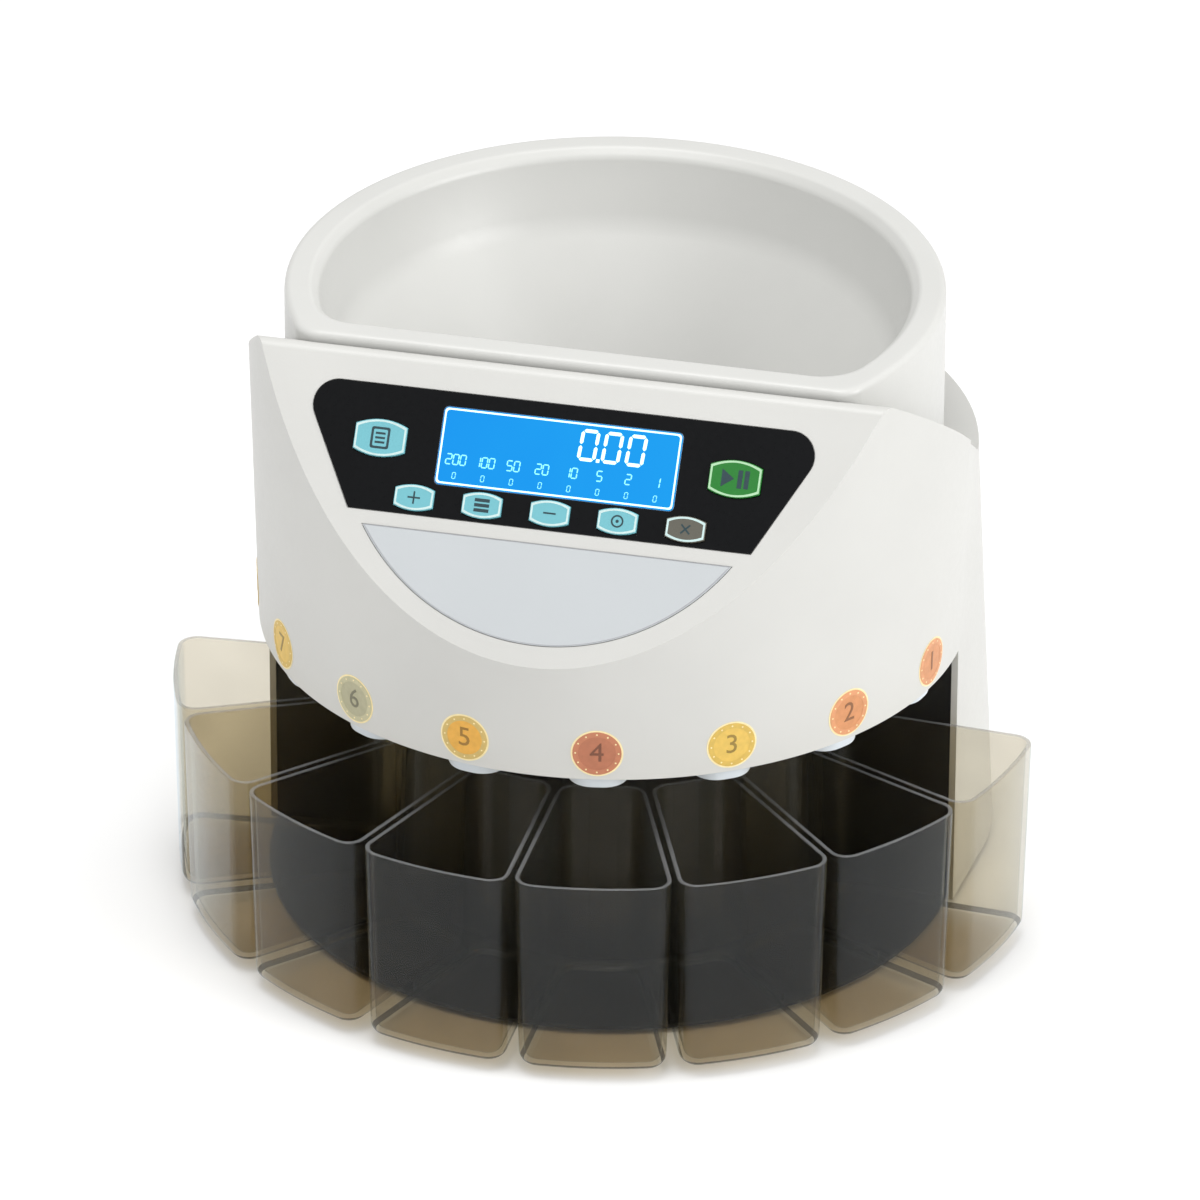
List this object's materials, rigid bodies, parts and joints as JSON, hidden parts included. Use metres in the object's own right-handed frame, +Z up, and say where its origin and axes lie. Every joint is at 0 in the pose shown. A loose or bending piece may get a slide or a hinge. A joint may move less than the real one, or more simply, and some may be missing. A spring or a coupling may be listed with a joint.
{
  "type": "coin sorting machine",
  "caption": "Table-top coin sorter: white hopper and slanted control fascia over a turning disc that drops coins into an arc of clear smoke pull-out cups.",
  "frame": {"origin": "on the surface the feet stand on, under the middle of the bounding box", "axes": "+Z up, -Y towards the user, +X to the user's right"},
  "size_m": [0.3546, 0.3304, 0.266],
  "materials": {
    "warm_white_abs": "fine satin moulded plastic",
    "black_abs": "fine textured black plastic",
    "gloss_overlay": "smooth glossy printed film",
    "smoke_clear": "clear smoke-brown plastic",
    "lcd_blue": "back-lit blue display under clear plastic",
    "badge_grey": "pale blue-grey satin plate",
    "teal_key": "teal key with pale rim",
    "green_key": "green key",
    "grey_key": "dark grey key",
    "circuit_board": "green circuit board",
    "steel": "brushed steel",
    "aluminium": "turned aluminium",
    "rubber": "matt black rubber",
    "chute_grey": "pale grey plastic",
    "nylon": "natural nylon"
  },
  "bodies": {
    "machine": {"base_tray": "black_abs", "bay_wall": "black_abs", "main_housing": "warm_white_abs", "rear_panel": "black_abs", "control_overlay": "gloss_overlay", "lcd_window": "lcd_blue", "lcd_module": "black_abs", "display_board": "circuit_board", "badge_plate": "badge_grey", "hinge_pin": "steel", "chassis_plate": "black_abs", "sort_ring": "steel", "rail_ring": "chute_grey", "bearing_block": "aluminium", "sensor_board": "circuit_board", "drive_motor": "steel", "main_board": "circuit_board", "power_supply": "steel", "power_inlet": "black_abs", "switch_frame": "black_abs", "data_port": "black_abs", "coin_chute_1": "chute_grey", "coin_chute_2": "chute_grey", "coin_chute_3": "chute_grey", "coin_chute_4": "chute_grey", "coin_chute_5": "chute_grey", "coin_chute_6": "chute_grey", "coin_chute_7": "chute_grey", "coin_chute_8": "chute_grey", "rubber_foot_1": "rubber", "rubber_foot_2": "rubber", "rubber_foot_3": "rubber", "rubber_foot_4": "rubber", "rear_screw_1": "steel", "rear_screw_2": "steel", "rear_screw_3": "steel", "rear_screw_4": "steel"},
    "hopper_body": {"hopper": "warm_white_abs"},
    "rotor": {"spindle": "steel", "sort_disc": "aluminium", "sweep_spider": "rubber", "disc_cap": "black_abs", "drive_gear": "nylon"},
    "pinion": {"motor_pinion": "steel"},
    "rocker": {"switch_rocker": "rubber"},
    "cup_1": {"coin_cup_1": "smoke_clear"},
    "cup_2": {"coin_cup_2": "smoke_clear"},
    "cup_3": {"coin_cup_3": "smoke_clear"},
    "cup_4": {"coin_cup_4": "smoke_clear"},
    "cup_5": {"coin_cup_5": "smoke_clear"},
    "cup_6": {"coin_cup_6": "smoke_clear"},
    "cup_7": {"coin_cup_7": "smoke_clear"},
    "cup_8": {"coin_cup_8": "smoke_clear"},
    "key_report_cap": {"key_report": "teal_key"},
    "key_start_stop_cap": {"key_start_stop": "green_key"},
    "key_plus_cap": {"key_plus": "teal_key"},
    "key_batch_cap": {"key_batch": "teal_key"},
    "key_minus_cap": {"key_minus": "teal_key"},
    "key_set_cap": {"key_set": "teal_key"},
    "key_clear_cap": {"key_clear": "grey_key"}
  },
  "joints": [
    {"name": "hopper_hinge", "type": "hinge", "parent": "machine", "child": "hopper_body", "pos_m": [0, 0.1542, 0.1965], "axis": [-1, 0, 0], "range_deg": [0, 60]},
    {"name": "spindle_spin", "type": "hinge", "parent": "machine", "child": "rotor", "pos_m": [0, 0.0132, 0.16], "axis": [0, 0, 1], "continuous": true},
    {"name": "pinion_spin", "type": "hinge", "parent": "machine", "child": "pinion", "pos_m": [0, 0.0632, 0.0935], "axis": [0, 0, 1], "continuous": true},
    {"name": "cup_1_slide", "type": "slide", "parent": "machine", "child": "cup_1", "axis": [-0.967, -0.2546, 0], "range_m": [0, 0.1]},
    {"name": "cup_2_slide", "type": "slide", "parent": "machine", "child": "cup_2", "axis": [-0.8064, -0.5913, 0], "range_m": [0, 0.1]},
    {"name": "cup_3_slide", "type": "slide", "parent": "machine", "child": "cup_3", "axis": [-0.5336, -0.8457, 0], "range_m": [0, 0.1]},
    {"name": "cup_4_slide", "type": "slide", "parent": "machine", "child": "cup_4", "axis": [-0.1865, -0.9825, 0], "range_m": [0, 0.1]},
    {"name": "cup_5_slide", "type": "slide", "parent": "machine", "child": "cup_5", "axis": [0.1865, -0.9825, 0], "range_m": [0, 0.1]},
    {"name": "cup_6_slide", "type": "slide", "parent": "machine", "child": "cup_6", "axis": [0.5336, -0.8457, 0], "range_m": [0, 0.1]},
    {"name": "cup_7_slide", "type": "slide", "parent": "machine", "child": "cup_7", "axis": [0.8064, -0.5913, 0], "range_m": [0, 0.1]},
    {"name": "cup_8_slide", "type": "slide", "parent": "machine", "child": "cup_8", "axis": [0.967, -0.2546, 0], "range_m": [0, 0.1]},
    {"name": "key_report_press", "type": "slide", "parent": "machine", "child": "key_report_cap", "axis": [0, 0.808, -0.5892], "range_m": [0, 0.0008], "stiffness_N_per_m": 400},
    {"name": "key_start_stop_press", "type": "slide", "parent": "machine", "child": "key_start_stop_cap", "axis": [0, 0.808, -0.5892], "range_m": [0, 0.0008], "stiffness_N_per_m": 400},
    {"name": "key_plus_press", "type": "slide", "parent": "machine", "child": "key_plus_cap", "axis": [0, 0.808, -0.5892], "range_m": [0, 0.0008], "stiffness_N_per_m": 400},
    {"name": "key_batch_press", "type": "slide", "parent": "machine", "child": "key_batch_cap", "axis": [0, 0.808, -0.5892], "range_m": [0, 0.0008], "stiffness_N_per_m": 400},
    {"name": "key_minus_press", "type": "slide", "parent": "machine", "child": "key_minus_cap", "axis": [0, 0.808, -0.5892], "range_m": [0, 0.0008], "stiffness_N_per_m": 400},
    {"name": "key_set_press", "type": "slide", "parent": "machine", "child": "key_set_cap", "axis": [0, 0.808, -0.5892], "range_m": [0, 0.0008], "stiffness_N_per_m": 400},
    {"name": "key_clear_press", "type": "slide", "parent": "machine", "child": "key_clear_cap", "axis": [0, 0.808, -0.5892], "range_m": [0, 0.0008], "stiffness_N_per_m": 400},
    {"name": "power_switch_rock", "type": "hinge", "parent": "machine", "child": "rocker", "pos_m": [0.008, 0.1608, 0.037], "axis": [1, 0, 0], "range_deg": [0, 16]}
  ],
  "couplings": [
    {"joint": "pinion_spin", "follows": "spindle_spin", "ratio": -3.1667}
  ]
}
